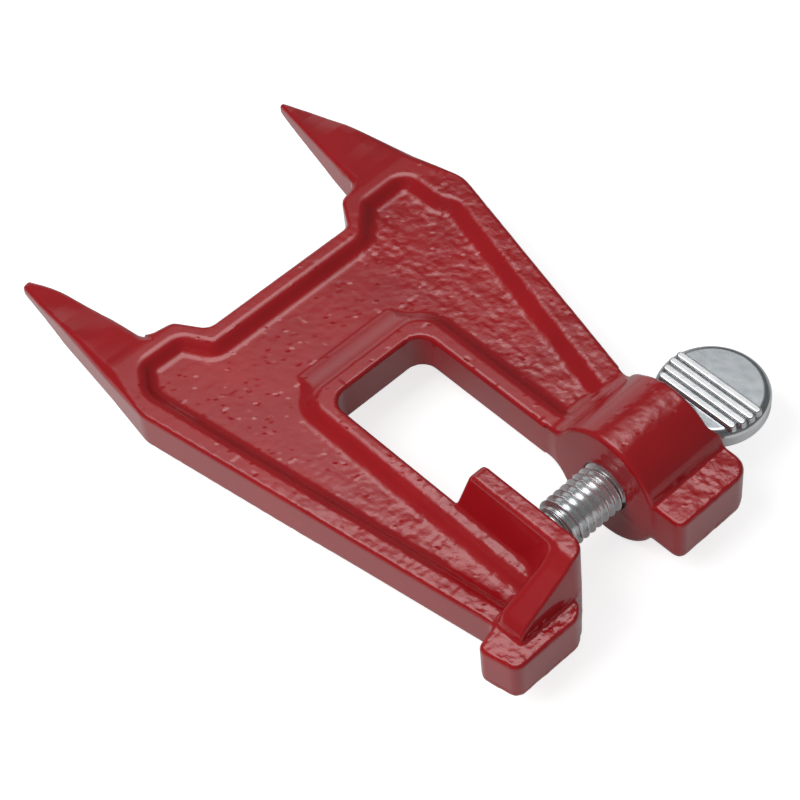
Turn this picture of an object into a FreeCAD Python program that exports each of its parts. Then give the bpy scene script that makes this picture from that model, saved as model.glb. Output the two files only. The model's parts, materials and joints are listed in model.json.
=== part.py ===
import FreeCAD, Part
import math
import os
import Sketcher

# Stump vise for holding a saw bar while its chain is filed.
# X runs from the slot's closed end towards the striking feet, Y from the fixed jaw's leg
# towards the thumb screw, Z is up. The casting's parting plane is its own z = 0.
# The finished vise lies flat, with the origin under the middle of its box.

TOUCH = 1e-4

DRIVING = [
    ("slot_width", 25.0, "gap between the two legs"),
    ("slot_corner", 4.0, "corner radius at the closed end of the slot"),
    ("plate_thickness", 9.6, "thickness of the legs, the bridge and the feet"),
    ("bridge_length", 32.7, "closed end of the slot to the straight spike-side edge"),
    ("leg_length", 72.4, "closed end of the slot to the striking faces of the feet"),
    ("lobe_rise", 6.9, "straight edge to the swollen corners beside the spikes"),
    ("root_step", 0.9, "swollen corners to the roots of the spikes"),
    ("near_spike_length", 32.9, "root to tip of the near spike"),
    ("far_spike_length", 33.7, "root to tip of the far spike"),
    ("point_length", 8.0, "tip of a spike to where its point begins"),
    ("taper_lead", 0.5, "roots of the spikes to where they get thinner"),
    ("spike_tip_thickness", 2.6, "thickness of the spikes at their tips"),
    ("tip_round", 0.8, "radius of the spike tips in plan"),
    ("shoulder_drop", 7.9, "straight edge to the widest place of the frame"),
    ("near_shoulder", 29.4, "slot wall to the near shoulder"),
    ("far_shoulder", 35.7, "far slot wall to the far shoulder"),
    ("near_root_in", 14.7, "slot wall to the inner root of the near spike"),
    ("near_tip_out", 23.3, "slot wall to the outer corner of the near tip"),
    ("near_tip_in", 21.3, "slot wall to the inner corner of the near tip"),
    ("near_knee_in", 18.8, "slot wall to the near spike's inner side where its point begins"),
    ("far_root_in", 19.2, "far slot wall to the inner root of the far spike"),
    ("far_tip_out", 27.5, "far slot wall to the outer corner of the far tip"),
    ("far_tip_in", 25.8, "far slot wall to the inner corner of the far tip"),
    ("far_knee_out", 29.2, "far slot wall to the far spike's outer side where its point begins"),
    ("near_lobe_side", 8.8, "slot wall to the near swollen corner"),
    ("near_edge_side", 4.4, "slot wall to the near end of the straight edge"),
    ("far_lobe_side", 13.3, "far slot wall to the far swollen corner"),
    ("far_edge_side", 9.4, "far slot wall to the far end of the straight edge"),
    ("lobe_round", 2.5, "radius of the swells beside the spikes"),
    ("shoulder_round", 8.0, "radius of the two shoulders"),
    ("edge_round", 0.7, "radius on the cast edges"),
    ("rim_width", 4.0, "outer rim round the recessed web"),
    ("recess_depth", 2.4, "depth of the recess on each face"),
    ("recess_draft", 45.0, "slope of the recess walls from the vertical"),
    ("recess_round", 2.6, "corner radius of the recess"),
    ("recess_near_cut", 4.0, "cut across the recess's corner inside the near shoulder"),
    ("recess_far_step", 2.5, "how much wider the rim is beside the far swollen corner"),
    ("ring_near", 3.4, "rim of the slot on the near leg"),
    ("ring_end", 4.8, "rim of the slot at its closed end"),
    ("ring_far", 4.3, "rim of the slot on the far leg"),
    ("recess_boss_gap", 1.4, "recess end to the boss"),
    ("waist_setback", 13.9, "striking face to the end of the near leg's taper"),
    ("near_waist", 15.5, "slot wall to the near leg's outer edge at its foot"),
    ("foot_length", 8.4, "length of the near foot's full width"),
    ("near_foot_out", 20.3, "slot wall to the near foot's outer side"),
    ("near_foot_round", 2.0, "outer corner radius of the feet"),
    ("foot_round", 4.0, "larger corner radius of the feet"),
    ("jaw_setback", 3.5, "striking face to the fixed jaw's end"),
    ("jaw_length", 31.4, "length of the fixed jaw at the plate"),
    ("jaw_end_run", 1.8, "how far the jaw's end leans in towards its top"),
    ("jaw_start_run", 2.1, "how far the jaw's other end leans in towards its top"),
    ("jaw_half_height", 14.3, "parting plane to the fixed jaw's top"),
    ("jaw_face", 5.5, "slot wall to the clamping face of the fixed jaw"),
    ("jaw_top_thickness", 3.9, "fixed jaw's thickness at its top"),
    ("jaw_root_thickness", 9.3, "fixed jaw's thickness at the parting plane"),
    ("jaw_corner", 5.0, "radius of the upright corner at the jaw's free end"),
    ("gusset_thickness", 7.2, "gusset behind the fixed jaw"),
    ("gusset_top", 13.1, "parting plane to the gusset where it meets the jaw's top"),
    ("gusset_low", 6.9, "parting plane to the gusset at its outer end"),
    ("gusset_out", 13.6, "slot wall to the outer end of the gusset's slope"),
    ("gusset_base", 14.8, "slot wall to the outer end of the gusset's base"),
    ("boss_setback", 20.0, "striking face to the middle of the boss and the screw"),
    ("boss_radius", 13.4, "radius of the boss"),
    ("boss_length", 19.2, "length of the boss"),
    ("screw_diameter", 11.0, "outside diameter of the thread"),
    ("screw_pitch", 1.8, "pitch of the thread"),
    ("thread_depth", 1.05, "depth of the thread's groove"),
    ("thread_flat", 0.28, "flat at the thread's crest and root"),
    ("groove_overrun", 0.1, "how far the groove's cutter stands out of the crest"),
    ("bore_clearance", 0.06, "clearance all round between the thread's crest and its bore"),
    ("thread_start", 5.6, "jaw face to the start of the thread"),
    ("jaw_gap", 2.1, "jaw face to the screw's point, screwed right in"),
    ("point_diameter", 8.6, "plain point of the screw"),
    ("point_chamfer", 0.8, "chamfer of the point"),
    ("point_spigot", 2.0, "spigot of the point inside the shank"),
    ("spigot_diameter", 5.0, "diameter of the spigot"),
    ("spigot_clearance", 0.05, "clearance all round the spigot"),
    ("neck_length", 2.4, "plain neck between the thread and the head"),
    ("neck_diameter", 8.8, "diameter of the neck"),
    ("head_gap", 0.2, "boss to the head's rim, screwed right in"),
    ("head_radius", 11.9, "radius of the disc head"),
    ("head_thickness", 5.5, "thickness of the disc head"),
    ("head_chamfer", 1.3, "chamfer of the disc head"),
    ("shank_blend", 4.5, "how far the shank runs on into the head"),
    ("grip_height", 1.0, "height of the grip ribs"),
    ("grip_pitch", 2.1, "spacing of the grip ribs"),
    ("grip_width", 1.9, "width of a grip rib at its base"),
    ("grip_crest", 0.9, "width of a grip rib at its crest"),
    ("grip_count", 4, "number of grip ribs on each face"),
    ("grip_margin", 0.1, "flat rim outside the ribs' ends"),
    ("grip_shift", -1.7, "middle of the ribs from the head's centre"),
]

doc = FreeCAD.newDocument("StumpVise")
size = doc.addObject("Spreadsheet::Sheet", "size")
for row, (alias, number, note) in enumerate(DRIVING, start=1):
    size.set("A%d" % row, alias)
    size.set("B%d" % row, str(number))
    size.setAlias("B%d" % row, alias)
    size.set("C%d" % row, note)
doc.recompute()


def mm(alias):
    """Number held by a cell of the sheet."""
    return float(size.get(alias))


def add_body(name):
    """Body that holds one sub-part, labelled with its node's name."""
    body = doc.addObject("PartDesign::Body", name)
    body.Label = name
    return body


def origin_plane(body, role):
    """One of the body's own origin planes."""
    return [f for f in body.Origin.OriginFeatures if f.Role == role][0]


def add_sketch(body, name, role, raise_by=None):
    """Empty sketch on an origin plane, moved along its normal by a bound value."""
    sketch = body.newObject("Sketcher::SketchObject", name)
    sketch.AttachmentSupport = [(origin_plane(body, role), "")]
    sketch.MapMode = "FlatFace"
    if raise_by is not None:
        sketch.setExpression("AttachmentOffset.Base.z", raise_by)
    return sketch


def draw_polygon(sketch, corners):
    """Closed polygon whose corners are held by bound distances from the sketch's origin."""
    count = len(corners)
    base = len(sketch.Geometry)
    turn = 2 * math.pi / count
    first = [FreeCAD.Vector(math.cos(i * turn), math.sin(i * turn), 0) for i in range(count)]
    for i in range(count):
        sketch.addGeometry(Part.LineSegment(first[i], first[(i + 1) % count]), False)
    for i in range(count):
        following = base + (i + 1) % count
        sketch.addConstraint(Sketcher.Constraint("Coincident", base + i, 2, following, 1))
    for i, (along_x, along_y) in enumerate(corners):
        for kind, expression, start in (("DistanceX", along_x, first[i].x),
                                        ("DistanceY", along_y, first[i].y)):
            number = sketch.addConstraint(Sketcher.Constraint(kind, -1, 1, base + i, 1, start))
            sketch.setExpression("Constraints[%d]" % number, expression)
    doc.recompute()
    return sketch


def draw_circle(sketch, centre_x, centre_y, radius):
    """Circle held by a bound centre and radius."""
    base = len(sketch.Geometry)
    sketch.addGeometry(Part.Circle(FreeCAD.Vector(1, 1, 0), FreeCAD.Vector(0, 0, 1), 2), False)
    for kind, expression in (("DistanceX", centre_x), ("DistanceY", centre_y)):
        number = sketch.addConstraint(Sketcher.Constraint(kind, -1, 1, base, 3, 1.0))
        sketch.setExpression("Constraints[%d]" % number, expression)
    number = sketch.addConstraint(Sketcher.Constraint("Radius", base, 2.0))
    sketch.setExpression("Constraints[%d]" % number, radius)
    doc.recompute()
    return sketch


def add_pad(body, name, sketch, length, symmetric=False, reverse=False):
    """Pad of a bound length."""
    pad = body.newObject("PartDesign::Pad", name)
    pad.Profile = (sketch, [""])
    pad.SideType = "Symmetric" if symmetric else "One side"
    pad.Reversed = reverse
    pad.setExpression("Length", length)
    doc.recompute()
    return pad


def add_pocket(body, name, sketch, length, symmetric=False, reverse=False, taper=None):
    """Pocket of a bound length, with a bound draft if one is given."""
    before = body.Shape.Volume
    pocket = body.newObject("PartDesign::Pocket", name)
    pocket.Profile = (sketch, [""])
    pocket.SideType = "Symmetric" if symmetric else "One side"
    pocket.Reversed = reverse
    pocket.setExpression("Length", length)
    if taper is not None:
        pocket.setExpression("TaperAngle", taper)
    doc.recompute()
    if pocket.Shape.Volume >= before:
        raise RuntimeError("%s cut nothing" % name)
    return pocket


def add_mirror(body, name, features, role):
    """Copies of features on the other side of an origin plane."""
    mirror = body.newObject("PartDesign::Mirrored", name)
    mirror.Originals = features
    mirror.MirrorPlane = (origin_plane(body, role), [""])
    body.Tip = mirror
    doc.recompute()
    return mirror


def add_fillet(body, name, feature, edges, radius, kind="PartDesign::Fillet"):
    """Fillet or chamfer of bound size on named edges of a feature."""
    dress = body.newObject(kind, name)
    dress.Base = (feature, edges)
    dress.setExpression("Radius" if kind.endswith("Fillet") else "Size", radius)
    doc.recompute()
    return dress


def edges_where(shape, test):
    """Names of the shape's edges whose two ends and middle pass a test."""
    names = []
    for number, edge in enumerate(shape.Edges, start=1):
        low, high = edge.ParameterRange
        points = [edge.valueAt(low), edge.valueAt((low + high) / 2), edge.valueAt(high)]
        if test(edge, points):
            names.append("Edge%d" % number)
    return names


def corner_points(sketch, numbers):
    """Corners of a drawn polygon, by their place in its list."""
    return [sketch.Geometry[i].StartPoint for i in numbers]


def upright_edges(shape, corners):
    """Edges that rise from given corners of a plan."""
    def test(edge, points):
        if abs(points[0].z - points[2].z) < TOUCH:
            return False
        return any(math.hypot(points[0].x - c.x, points[0].y - c.y) < TOUCH
                   or math.hypot(points[2].x - c.x, points[2].y - c.y) < TOUCH for c in corners)
    return edges_where(shape, test)


# Places that several pieces share, written once.
FAR_WALL = "size.slot_width"
HALF_PLATE = "size.plate_thickness / 2"
LOBES = "(size.bridge_length + size.lobe_rise)"
ROOTS = "(%s + size.root_step)" % LOBES
NEAR_TIP = "(%s + size.near_spike_length)" % ROOTS
FAR_TIP = "(%s + size.far_spike_length)" % ROOTS
SHOULDERS = "(size.bridge_length - size.shoulder_drop)"
WAIST = "(size.leg_length - size.waist_setback)"
JAW_END = "(size.leg_length - size.jaw_setback)"
JAW_START = "(%s - size.jaw_length)" % JAW_END
BOSS_MIDDLE = "(size.leg_length - size.boss_setback)"
BOSS_LEFT = "(%s - size.boss_radius)" % BOSS_MIDDLE
BOSS_END = "(size.slot_width + size.boss_length)"
SHANK_START = "(size.jaw_face + size.thread_start)"
THREAD_END = "(%s - size.neck_length)" % BOSS_END
HEAD_RIM = "(%s + size.head_gap)" % BOSS_END
HEAD_CENTRE = "(%s + size.head_radius)" % HEAD_RIM


def on_outline(edge, points):
    """True on the edges between the plate's faces and its sides."""
    return all(abs(abs(p.z) - mm("plate_thickness") / 2) < TOUCH for p in points)


def build_plate(body):
    """Plate of even thickness: legs, bridge, feet and spikes, with its cast edges rounded."""
    plan = add_sketch(body, "frame_plan", "XY_Plane")
    draw_polygon(plan, [
        ("0", "0"),
        ("0", FAR_WALL),
        ("size.leg_length", FAR_WALL),
        ("size.leg_length", BOSS_END),
        (BOSS_LEFT, BOSS_END),
        ("-" + SHOULDERS, FAR_WALL + " + size.far_shoulder"),
        ("-%s + size.point_length" % FAR_TIP, FAR_WALL + " + size.far_knee_out"),
        ("-" + FAR_TIP, FAR_WALL + " + size.far_tip_out"),
        ("-" + FAR_TIP, FAR_WALL + " + size.far_tip_in"),
        ("-" + ROOTS, FAR_WALL + " + size.far_root_in"),
        ("-" + LOBES, FAR_WALL + " + size.far_lobe_side"),
        ("-size.bridge_length", FAR_WALL + " + size.far_edge_side"),
        ("-size.bridge_length", "-size.near_edge_side"),
        ("-" + LOBES, "-size.near_lobe_side"),
        ("-" + ROOTS, "-size.near_root_in"),
        ("-%s + size.point_length" % NEAR_TIP, "-size.near_knee_in"),
        ("-" + NEAR_TIP, "-size.near_tip_in"),
        ("-" + NEAR_TIP, "-size.near_tip_out"),
        ("-" + SHOULDERS, "-size.near_shoulder"),
        (WAIST, "-size.near_waist"),
        ("size.leg_length - size.foot_length", "-size.near_foot_out"),
        ("size.leg_length", "-size.near_foot_out"),
        ("size.leg_length", "0"),
    ])
    feature = add_pad(body, "frame_plate", plan, "size.plate_thickness", symmetric=True)
    for name, corners, radius in (("slot_corners", (0, 1), "size.slot_corner"),
                                  ("foot_corners", (3, 22), "size.foot_round"),
                                  ("outer_foot_corners", (2, 20, 21), "size.near_foot_round"),
                                  ("shoulders", (5, 18), "size.shoulder_round"),
                                  ("tips", (7, 8, 16, 17), "size.tip_round"),
                                  ("lobes", (9, 10, 11, 12, 13, 14), "size.lobe_round")):
        edges = upright_edges(feature.Shape, corner_points(plan, corners))
        feature = add_fillet(body, name, feature, edges, radius)
    edges = edges_where(feature.Shape, on_outline)
    add_fillet(body, "outline_edges", feature, edges, "size.edge_round")


def build_spike_taper(body):
    """The spikes get thinner towards their tips on both faces."""
    wedge = add_sketch(body, "spike_taper_plan", "XZ_Plane")
    tip_half = "size.spike_tip_thickness / 2"
    longest = "(%s + max(size.near_spike_length; size.far_spike_length))" % ROOTS
    outside = "-%s - size.plate_thickness" % longest
    draw_polygon(wedge, [
        ("-%s - size.taper_lead" % ROOTS, HALF_PLATE),
        ("-" + longest, tip_half),
        (outside, tip_half),
        (outside, "size.plate_thickness"),
        ("-%s - size.taper_lead" % ROOTS, "size.plate_thickness"),
    ])
    across = "2 * (size.near_shoulder + size.slot_width + size.far_shoulder)"
    upper = add_pocket(body, "spike_taper", wedge, across, symmetric=True)
    add_mirror(body, "spike_taper_both_faces", [upper], "XY_Plane")


def build_recess(body):
    """Sloping recess in both faces, which leaves a rim and a thinner web."""
    rim = add_sketch(body, "recess_plan", "XY_Plane", raise_by=HALF_PLATE)
    rim_near = "-size.near_shoulder + size.rim_width"
    rim_far = FAR_WALL + " + size.far_shoulder - size.rim_width"
    boss_side = BOSS_LEFT + " - size.recess_boss_gap"
    inside_lobes = "-%s + size.rim_width" % LOBES
    draw_polygon(rim, [
        ("-size.bridge_length + size.rim_width", "-size.near_edge_side - size.rim_width / 2"),
        (inside_lobes, "-size.near_lobe_side - size.rim_width / 2"),
        (inside_lobes, rim_near + " + size.recess_near_cut"),
        (inside_lobes + " + size.recess_near_cut", rim_near),
        ("-" + SHOULDERS, rim_near),
        (WAIST, "-size.near_waist + size.rim_width"),
        (WAIST, "-size.ring_near"),
        ("-size.ring_end", "-size.ring_near"),
        ("-size.ring_end", FAR_WALL + " + size.ring_far"),
        (boss_side, FAR_WALL + " + size.ring_far"),
        (boss_side, BOSS_END + " - size.rim_width"),
        ("-" + SHOULDERS, rim_far),
        (inside_lobes, rim_far + " - size.recess_far_step"),
        (inside_lobes, FAR_WALL + " + size.far_lobe_side + size.rim_width"),
        ("-size.bridge_length + size.rim_width", FAR_WALL + " + size.far_edge_side"),
    ])
    recess = add_pocket(body, "recess", rim, "size.recess_depth", taper="-size.recess_draft")
    corners = corner_points(rim, range(len(rim.Geometry)))
    edges = upright_edges(recess.Shape, corners)
    rounded = add_fillet(body, "recess_corners", recess, edges, "size.recess_round")
    add_mirror(body, "recess_both_faces", [recess, rounded], "XY_Plane")


def build_jaw(body):
    """Fixed jaw with a flat clamping face, backed by a gusset, alike above and below the plate."""
    side = add_sketch(body, "jaw_side", "YZ_Plane", raise_by=JAW_START)
    draw_polygon(side, [
        ("size.jaw_face", "0"),
        ("size.jaw_face", "size.jaw_half_height"),
        ("size.jaw_face - size.jaw_top_thickness", "size.jaw_half_height"),
        ("size.jaw_face - size.jaw_root_thickness", "0"),
    ])
    wall = add_pad(body, "jaw_wall", side, "size.jaw_length")
    free_corner = FreeCAD.Vector(mm("leg_length") - mm("jaw_setback"), mm("jaw_face"), 0)
    edges = upright_edges(wall.Shape, [free_corner])
    corner = add_fillet(body, "jaw_corner", wall, edges, "size.jaw_corner")

    rib = add_sketch(body, "gusset_side", "YZ_Plane", raise_by=JAW_END + " - size.gusset_thickness")
    draw_polygon(rib, [
        ("size.jaw_face - size.jaw_top_thickness / 2", "0"),
        ("size.jaw_face - size.jaw_top_thickness / 2", "size.gusset_top"),
        ("size.jaw_face - size.jaw_top_thickness", "size.gusset_top"),
        ("-size.gusset_out", "size.gusset_low"),
        ("-size.gusset_base", HALF_PLATE),
        ("-size.gusset_base", "0"),
    ])
    gusset = add_pad(body, "gusset", rib, "size.gusset_thickness")

    lean = add_sketch(body, "jaw_ends_lean", "XZ_Plane", raise_by="-size.jaw_face")
    draw_polygon(lean, [
        (JAW_END, HALF_PLATE),
        (JAW_END + " + size.jaw_end_run", HALF_PLATE),
        (JAW_END + " + size.jaw_end_run", "size.jaw_half_height"),
        (JAW_END + " - size.jaw_end_run", "size.jaw_half_height"),
    ])
    draw_polygon(lean, [
        (JAW_START, HALF_PLATE),
        (JAW_START + " + size.jaw_start_run", "size.jaw_half_height"),
        (JAW_START + " - size.jaw_start_run", "size.jaw_half_height"),
        (JAW_START + " - size.jaw_start_run", HALF_PLATE),
    ])
    depth = "size.jaw_face + size.gusset_base + size.jaw_end_run"
    ends = add_pocket(body, "jaw_ends", lean, depth, reverse=True)
    add_mirror(body, "jaw_both_halves", [wall, corner, gusset, ends], "XY_Plane")


def build_frame():
    """Cast frame: two legs, two spikes, two striking feet, the fixed jaw and the boss."""
    body = add_body("vise_frame")
    build_plate(body)
    build_spike_taper(body)
    build_recess(body)
    build_jaw(body)
    ring = add_sketch(body, "boss_circle", "XZ_Plane", raise_by="-size.slot_width")
    draw_circle(ring, BOSS_MIDDLE, "0", "size.boss_radius")
    add_pad(body, "boss", ring, "size.boss_length", reverse=True)
    hole = add_sketch(body, "bore_circle", "XZ_Plane", raise_by="-size.slot_width")
    draw_circle(hole, BOSS_MIDDLE, "0", "size.screw_diameter / 2 + size.bore_clearance")
    add_pocket(body, "screw_bore", hole, "size.boss_length")
    return body


def add_rounds(body, sections):
    """Round pads along the body's own Y axis, each a radius, a start and a length."""
    for number, (radius, start, length) in enumerate(sections, start=1):
        circle = add_sketch(body, "%s_circle_%d" % (body.Label, number), "XZ_Plane",
                            raise_by="-(%s)" % start)
        draw_circle(circle, "0", "0", radius)
        pad = add_pad(body, "%s_round_%d" % (body.Label, number), circle, length, reverse=True)
    return pad


def build_point():
    """Plain point of the screw, which presses the saw bar, with the spigot it turns on."""
    body = add_body("screw_point")
    rounds = add_rounds(body, [
        ("size.point_diameter / 2", "size.jaw_face + size.jaw_gap",
         "size.thread_start - size.jaw_gap"),
        ("size.spigot_diameter / 2", SHANK_START, "size.point_spigot"),
    ])
    tip = mm("jaw_face") + mm("jaw_gap")

    def on_tip(edge, points):
        return all(abs(p.y - tip) < TOUCH for p in points)
    edges = edges_where(rounds.Shape, on_tip)
    add_fillet(body, "point_bevel", rounds, edges, "size.point_chamfer", "PartDesign::Chamfer")
    return body


def build_head(body):
    """Flat disc head with bevelled rims and straight ribs for the fingers on both faces."""
    disc = add_sketch(body, "head_circle", "XY_Plane")
    draw_circle(disc, "0", HEAD_CENTRE, "size.head_radius")
    head = add_pad(body, "head", disc, "size.head_thickness", symmetric=True)
    half = mm("head_thickness") / 2

    def on_rims(edge, points):
        return all(abs(abs(p.z) - half) < TOUCH for p in points)
    rims = edges_where(head.Shape, on_rims)
    add_fillet(body, "head_bevels", head, rims, "size.head_chamfer", "PartDesign::Chamfer")

    ribs = add_sketch(body, "grip_rib_sections", "YZ_Plane")
    for number in range(int(mm("grip_count"))):
        line = "%s + size.grip_shift + size.grip_pitch * (%d - (size.grip_count - 1) / 2)" % (
            HEAD_CENTRE, number)
        draw_polygon(ribs, [
            (line + " - size.grip_width / 2", "size.head_thickness / 2"),
            (line + " + size.grip_width / 2", "size.head_thickness / 2"),
            (line + " + size.grip_crest / 2", "size.head_thickness / 2 + size.grip_height"),
            (line + " - size.grip_crest / 2", "size.head_thickness / 2 + size.grip_height"),
        ])
    bars = add_pad(body, "grip_ribs", ribs, "2 * (size.head_radius - size.head_chamfer)", symmetric=True)
    ends = add_sketch(body, "grip_ends_circle", "XY_Plane", raise_by="size.head_thickness / 2")
    draw_circle(ends, "0", HEAD_CENTRE, "size.head_radius - size.head_chamfer - size.grip_margin")
    draw_circle(ends, "0", HEAD_CENTRE, "size.head_radius + size.grip_height")
    trimmed = add_pocket(body, "grip_ends", ends, "2 * size.grip_height", reverse=True)
    add_mirror(body, "grip_both_faces", [bars, trimmed], "XY_Plane")


def build_thumb_screw():
    """Threaded shank with its disc head."""
    body = add_body("thumb_screw")
    build_head(body)
    add_rounds(body, [
        ("size.screw_diameter / 2", SHANK_START, "%s - (%s)" % (THREAD_END, SHANK_START)),
        ("size.neck_diameter / 2", THREAD_END, "size.neck_length + size.head_gap + size.shank_blend"),
    ])
    hollow = add_sketch(body, "spigot_hole_circle", "XZ_Plane", raise_by="-(%s)" % SHANK_START)
    draw_circle(hollow, "0", "0", "size.spigot_diameter / 2 + size.spigot_clearance")
    add_pocket(body, "spigot_hole", hollow, "size.point_spigot + size.spigot_clearance")

    groove = add_sketch(body, "groove_section", "XY_Plane")
    middle = SHANK_START + " - size.screw_pitch"
    root = "size.screw_diameter / 2 - size.thread_depth"
    flank = "(size.screw_pitch / 2 - size.thread_flat) / size.thread_depth"
    mouth = "(size.thread_flat / 2 + (size.thread_depth + size.groove_overrun) * %s)" % flank
    outside = "size.screw_diameter / 2 + size.groove_overrun"
    draw_polygon(groove, [
        (root, middle + " - size.thread_flat / 2"),
        (outside, middle + " - " + mouth),
        (outside, middle + " + " + mouth),
        (root, middle + " + size.thread_flat / 2"),
    ])
    thread = body.newObject("PartDesign::SubtractiveHelix", "thread")
    thread.Profile = (groove, [""])
    thread.ReferenceAxis = (origin_plane(body, "Y_Axis"), [""])
    thread.Mode = "pitch-height-angle"
    thread.setExpression("Pitch", "size.screw_pitch")
    thread.setExpression("Height", "%s - (%s) + 2 * size.screw_pitch" % (THREAD_END, SHANK_START))
    doc.recompute()
    return body


def check_document():
    """Stop if a feature failed or a sub-part has no sound shape."""
    for thing in doc.Objects:
        if "Invalid" in thing.State or "Error" in thing.State or "Touched" in thing.State:
            raise RuntimeError("%s is %s" % (thing.Name, thing.State))
    for body in pieces:
        if body.Shape.isNull() or not body.Shape.isValid() or len(body.Shape.Solids) != 1:
            raise RuntimeError("%s has no sound shape" % body.Label)


vise_frame = build_frame()
screw_point = build_point()
thumb_screw = build_thumb_screw()
pieces = [vise_frame, screw_point, thumb_screw]
doc.recompute()
check_document()

# The casting's own frame has its parting plane at z = 0. All pieces are raised together, so that
# the origin lies under the middle of their common box. The screw's axis is the boss's axis.
boss_middle = mm("leg_length") - mm("boss_setback")
axis = {screw_point: boss_middle, thumb_screw: boss_middle}
boxes = [(body.Shape.optimalBoundingBox(), axis.get(body, 0.0)) for body in pieces]
middle_x = (min(b.XMin + x for b, x in boxes) + max(b.XMax + x for b, x in boxes)) / 2
middle_y = (min(b.YMin for b, x in boxes) + max(b.YMax for b, x in boxes)) / 2
lowest = min(b.ZMin for b, x in boxes)
for body in pieces:
    place = FreeCAD.Vector(axis.get(body, 0.0) - middle_x, -middle_y, -lowest)
    body.Placement = FreeCAD.Placement(place, FreeCAD.Rotation())

os.makedirs("parts", exist_ok=True)
DENSITY = {vise_frame: 7.2e-6, screw_point: 7.85e-6, thumb_screw: 7.85e-6}
for body in pieces:
    body.Shape.exportStep(os.path.join("parts", body.Label + ".step"))
    box = body.Shape.optimalBoundingBox()
    print("%s: %.0f mm3, %.0f g, box %.2f %.2f %.2f to %.2f %.2f %.2f" % (
        body.Label, body.Shape.Volume, 1000 * DENSITY[body] * body.Shape.Volume,
        box.XMin, box.YMin, box.ZMin, box.XMax, box.YMax, box.ZMax))
print("screw axis x %.3f, z %.3f; shift y %.3f" % (boss_middle - middle_x, -lowest, -middle_y))
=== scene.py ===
import json
import logging
import math
from dataclasses import dataclass
from enum import Enum
from typing import Callable, Sequence

import bpy
import numpy as np
from mathutils import Matrix, Vector


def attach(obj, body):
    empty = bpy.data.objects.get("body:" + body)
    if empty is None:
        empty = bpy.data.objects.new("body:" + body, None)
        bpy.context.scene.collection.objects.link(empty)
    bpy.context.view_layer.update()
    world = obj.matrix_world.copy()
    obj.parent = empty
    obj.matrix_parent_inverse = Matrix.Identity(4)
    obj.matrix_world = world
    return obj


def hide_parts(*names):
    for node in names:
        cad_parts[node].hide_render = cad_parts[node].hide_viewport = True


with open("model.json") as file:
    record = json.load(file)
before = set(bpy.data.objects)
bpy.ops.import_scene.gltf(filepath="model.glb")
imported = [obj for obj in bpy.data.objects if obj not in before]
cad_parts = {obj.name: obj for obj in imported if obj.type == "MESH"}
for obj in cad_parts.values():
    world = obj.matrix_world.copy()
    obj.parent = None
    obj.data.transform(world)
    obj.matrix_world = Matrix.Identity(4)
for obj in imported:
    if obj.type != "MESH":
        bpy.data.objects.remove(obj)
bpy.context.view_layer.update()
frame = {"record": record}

# Stump vise for holding a saw bar while its chain is filed: a casting in red enamel and a
# zinc-plated thumb screw. Shapes are worked out in millimetres in the casting's own coordinates:
# x from the slot's closed end towards the striking feet, y from the fixed jaw's leg towards the
# screw's head, z up from the parting plane. They are moved into the frame by the jaw's mount.

LOG = logging.getLogger("stump_vise")
MM = 0.001
JAW_MOUNT = np.array([54.0, 5.5, 0.0])  # place of the record's jaw_face in casting coordinates
SCREW_X = 52.4  # place of the screw's axis, which runs along y in the parting plane
WHITE = (1.0, 1.0, 1.0, 1.0)

Array = np.ndarray
Field = Callable[[Array, Array, Array], Array]
Socket = bpy.types.NodeSocket
Colour = tuple[float, float, float, float]
Triple = tuple[float, float, float]
Row = tuple[float, ...]
Pair = tuple[float, float]
Span = tuple[float, float]  # where something sets in, and where it is whole
Band = tuple[float, float, float, float]  # where it sets in, is whole, starts to fade and is gone


def casting_shift() -> Array:
    """Place of the casting's own origin in the frame, in millimetres.

    Returns:
        Vector that is added to casting coordinates.
    """
    mount = next(m for m in frame["record"]["mounts"] if m["name"] == "jaw_face")
    return np.array(mount["pos_m"]) / MM - JAW_MOUNT


SHIFT = casting_shift()


class Slot(Enum):
    """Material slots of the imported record."""

    ENAMEL = "red_enamel"
    ZINC = "zinc_plate"


class Body(Enum):
    """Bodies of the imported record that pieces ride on."""

    FRAME = "frame"
    POINT = "point"
    SCREW = "screw"


class Operation(Enum):
    """What a maths node does with two numbers."""

    SUM = "ADD"
    PRODUCT = "MULTIPLY"
    LARGER = "MAXIMUM"


# Fields: a field is negative inside the metal, positive outside, and about a distance in mm.


def rounded_max(a: Array, b: Array, radius: float) -> Array:
    """Intersection of two fields whose common edge is rounded.

    Where both fields are within the radius of zero the result is the length of the two
    overshoots over minus the radius, less the radius. Elsewhere it is the larger field.

    Args:
        a: First field.
        b: Second field.
        radius: Radius of the rounded edge.

    Returns:
        Field of what both hold.
    """
    overshoot = np.hypot(np.maximum(a + radius, 0), np.maximum(b + radius, 0))
    return np.minimum(np.maximum(a, b), -radius) + overshoot


def blended_min(a: Array, b: Array, width: float) -> Array:
    """Union of two fields with a fillet along their common line.

    Within the width the two values are mixed linearly, less width times the product of their
    shares, which fills the inner corner.

    Args:
        a: First field.
        b: Second field.
        width: Difference of the fields at which the fillet ends.

    Returns:
        Field of what either holds.
    """
    share = np.clip(0.5 + 0.5 * (b - a) / width, 0, 1)
    return b + (a - b) * share - width * share * (1 - share)


def smooth_step(value: Array, low: float, high: float) -> Array:
    """Rise from 0 at low to 1 at high along a cubic with level ends."""
    t = np.clip((value - low) / (high - low), 0, 1)
    return t * t * (3 - 2 * t)


def band(value: Array, start: float, whole: float, fading: float, end: float) -> Array:
    """Rise from 0 at start to 1 at whole, and fall from 1 at fading to 0 at end."""
    return smooth_step(value, start, whole) * (1 - smooth_step(value, fading, end))


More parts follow.
